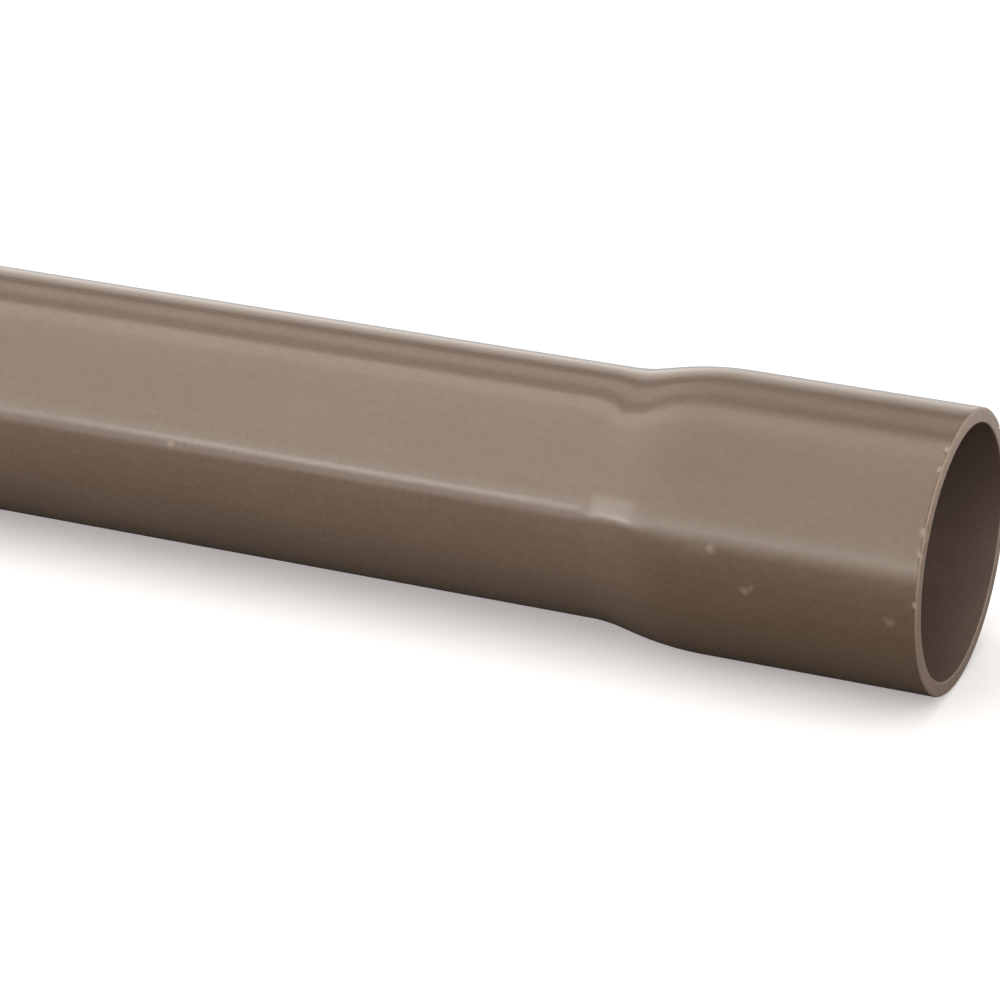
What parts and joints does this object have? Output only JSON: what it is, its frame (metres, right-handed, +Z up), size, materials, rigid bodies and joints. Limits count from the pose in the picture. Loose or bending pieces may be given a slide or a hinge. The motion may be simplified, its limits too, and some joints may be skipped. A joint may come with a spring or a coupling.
{
  "type": "pvc water pipe",
  "caption": "Rigid taupe PVC water pipe with a plain chamfered end and a swelled solvent-cement socket, lying on its side.",
  "frame": {"origin": "on the floor plane, under the middle of the pipe as it lies", "axes": "+X along the pipe towards the socket's mouth, +Z up from the floor. The axis rises 0.23 degrees towards the socket, because the pipe rests on the socket's shoulder and on its plain end."},
  "size_m": [1.0002, 0.0704, 0.0708],
  "materials": {
    "pvc": "satin extruded plastic"
  },
  "bodies": {
    "root": {"pipe": "pvc"}
  },
  "joints": []
}
